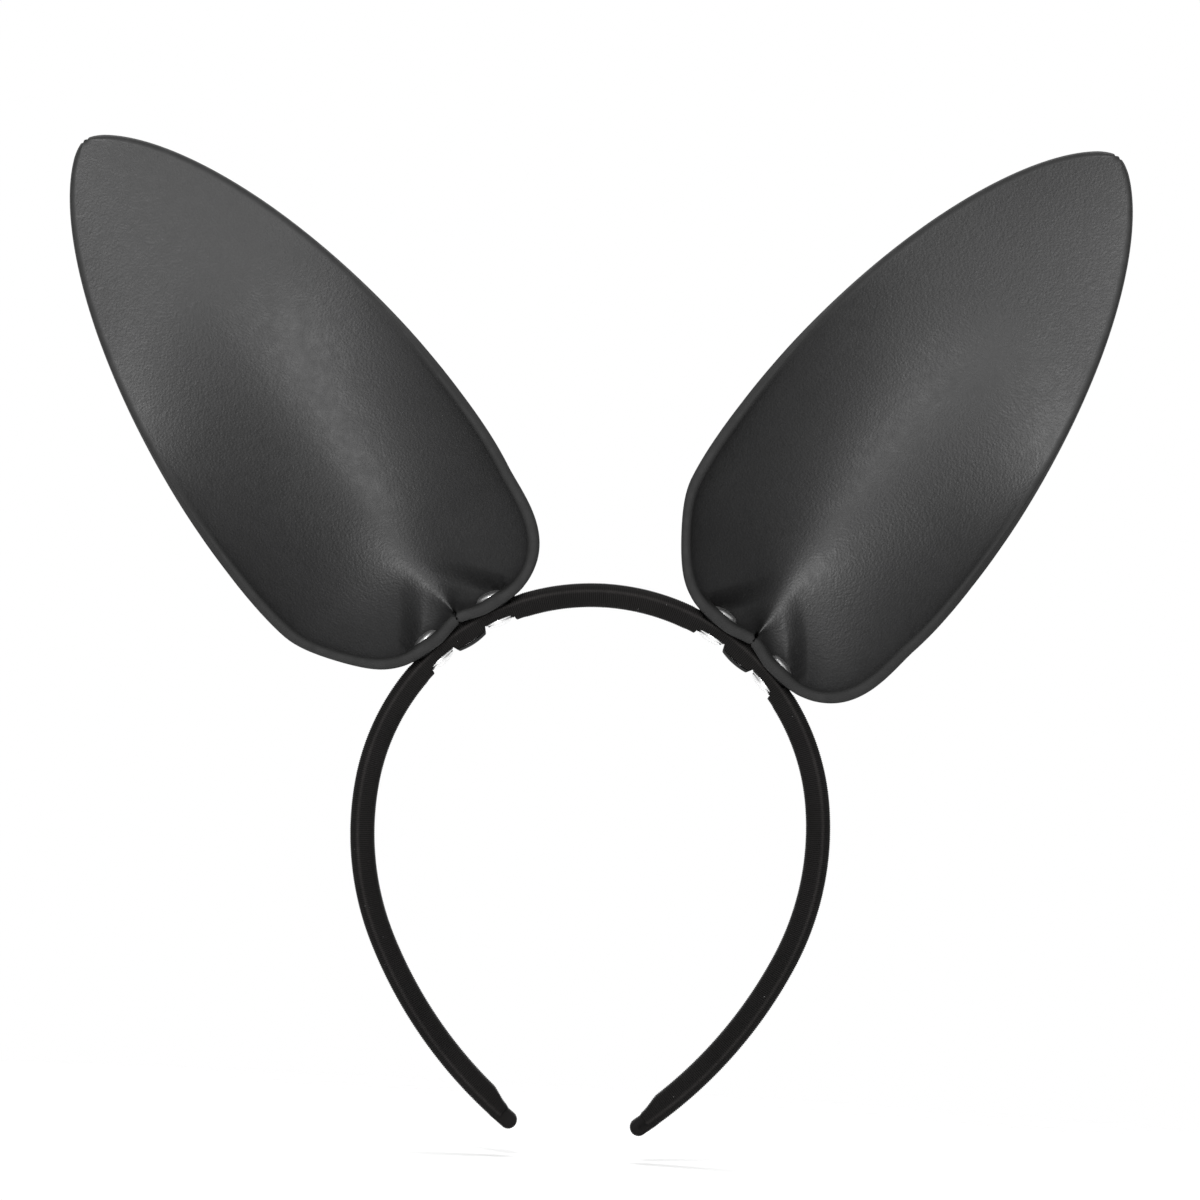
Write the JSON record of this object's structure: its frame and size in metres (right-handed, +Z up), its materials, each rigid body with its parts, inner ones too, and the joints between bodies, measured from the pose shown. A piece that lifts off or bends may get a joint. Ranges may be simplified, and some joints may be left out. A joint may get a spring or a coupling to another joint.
{
  "type": "animal ears headband",
  "caption": "Sprung padded headband in ribbed black fabric with tall cupped black leather rabbit ears, each riveted through the band to a backing strip.",
  "frame": {"origin": "middle of the crown's inner face, where the band rests on top of the head", "axes": "+Z up through the crown, +X across the head towards the viewer's right, -Y the front, which the cupped sides of the ears face"},
  "size_m": [0.288, 0.0266, 0.2729],
  "materials": {
    "ear_leather": "matt, fine grain, soft sheen",
    "strip_leather": "smooth, matt",
    "rivet_metal": "polished nickel",
    "spring_steel": "plain rolled strip",
    "foam": "soft foam padding",
    "ribbed_fabric": "crosswise ribs, matt"
  },
  "bodies": {
    "crown": {"left_ear": "ear_leather", "right_ear": "ear_leather", "left_backing_strip": "strip_leather", "right_backing_strip": "strip_leather", "left_lower_rivet_cap": "rivet_metal", "left_upper_rivet_cap": "rivet_metal", "right_upper_rivet_cap": "rivet_metal", "right_lower_rivet_cap": "rivet_metal", "left_lower_rivet_post": "rivet_metal", "left_upper_rivet_post": "rivet_metal", "right_upper_rivet_post": "rivet_metal", "right_lower_rivet_post": "rivet_metal", "crown_core": "spring_steel", "crown_padding": "foam", "crown_cover": "ribbed_fabric"},
    "left_arm": {"left_arm_core": "spring_steel", "left_arm_padding": "foam", "left_arm_cover": "ribbed_fabric", "left_end_tab": "ribbed_fabric"},
    "right_arm": {"right_arm_core": "spring_steel", "right_arm_padding": "foam", "right_arm_cover": "ribbed_fabric", "right_end_tab": "ribbed_fabric"}
  },
  "joints": [
    {"name": "left_arm_flex", "type": "hinge", "parent": "crown", "child": "left_arm", "pos_m": [-0.05609, 0, -0.03333], "axis": [0, 1, 0], "range_deg": [-5, 25], "stiffness_Nm_per_rad": 0.21},
    {"name": "right_arm_flex", "type": "hinge", "parent": "crown", "child": "right_arm", "pos_m": [0.05609, 0, -0.03333], "axis": [0, -1, 0], "range_deg": [-5, 25], "stiffness_Nm_per_rad": 0.21}
  ]
}
